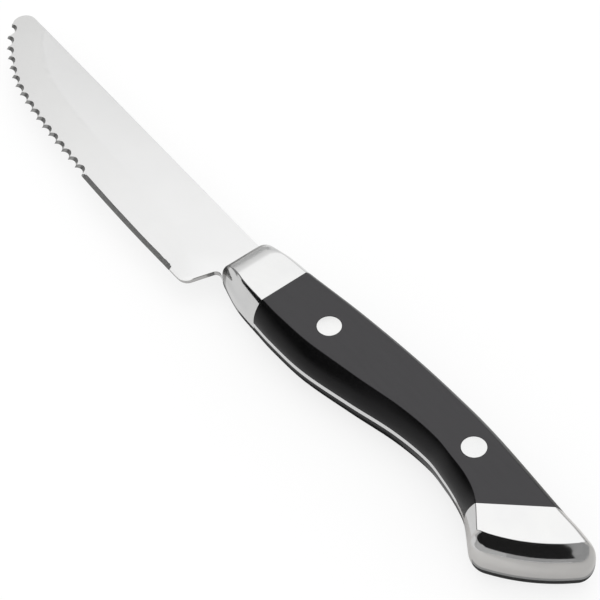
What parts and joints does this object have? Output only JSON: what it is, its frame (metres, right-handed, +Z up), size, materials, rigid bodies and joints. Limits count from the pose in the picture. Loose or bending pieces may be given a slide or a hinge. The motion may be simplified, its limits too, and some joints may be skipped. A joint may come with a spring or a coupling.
{
  "type": "steak knife",
  "caption": "Full-tang steak knife lying flat: round-tipped blade with a scalloped and plain edge, steel bolster and slanted pommel, contoured black scales held by flush rivets",
  "frame": {"origin": "Under the middle of the knife's box, on the surface that it lies on", "axes": "+X runs from the tip to the butt, +Y from the cutting edge to the spine, +Z up through the handle's thickness"},
  "size_m": [0.258, 0.034, 0.0158],
  "materials": {
    "blade_steel": "satin ground stainless steel",
    "polished_steel": "polished stainless steel with a fine satin grain",
    "black_scale": "satin black moulded polymer"
  },
  "bodies": {
    "root": {"blade": "blade_steel", "bolster_left": "polished_steel", "bolster_right": "polished_steel", "scale_left": "black_scale", "scale_right": "black_scale", "pommel_left": "polished_steel", "pommel_right": "polished_steel", "front_rivet_post": "polished_steel", "front_rivet_sleeve": "polished_steel", "rear_rivet_post": "polished_steel", "rear_rivet_sleeve": "polished_steel"}
  },
  "joints": []
}
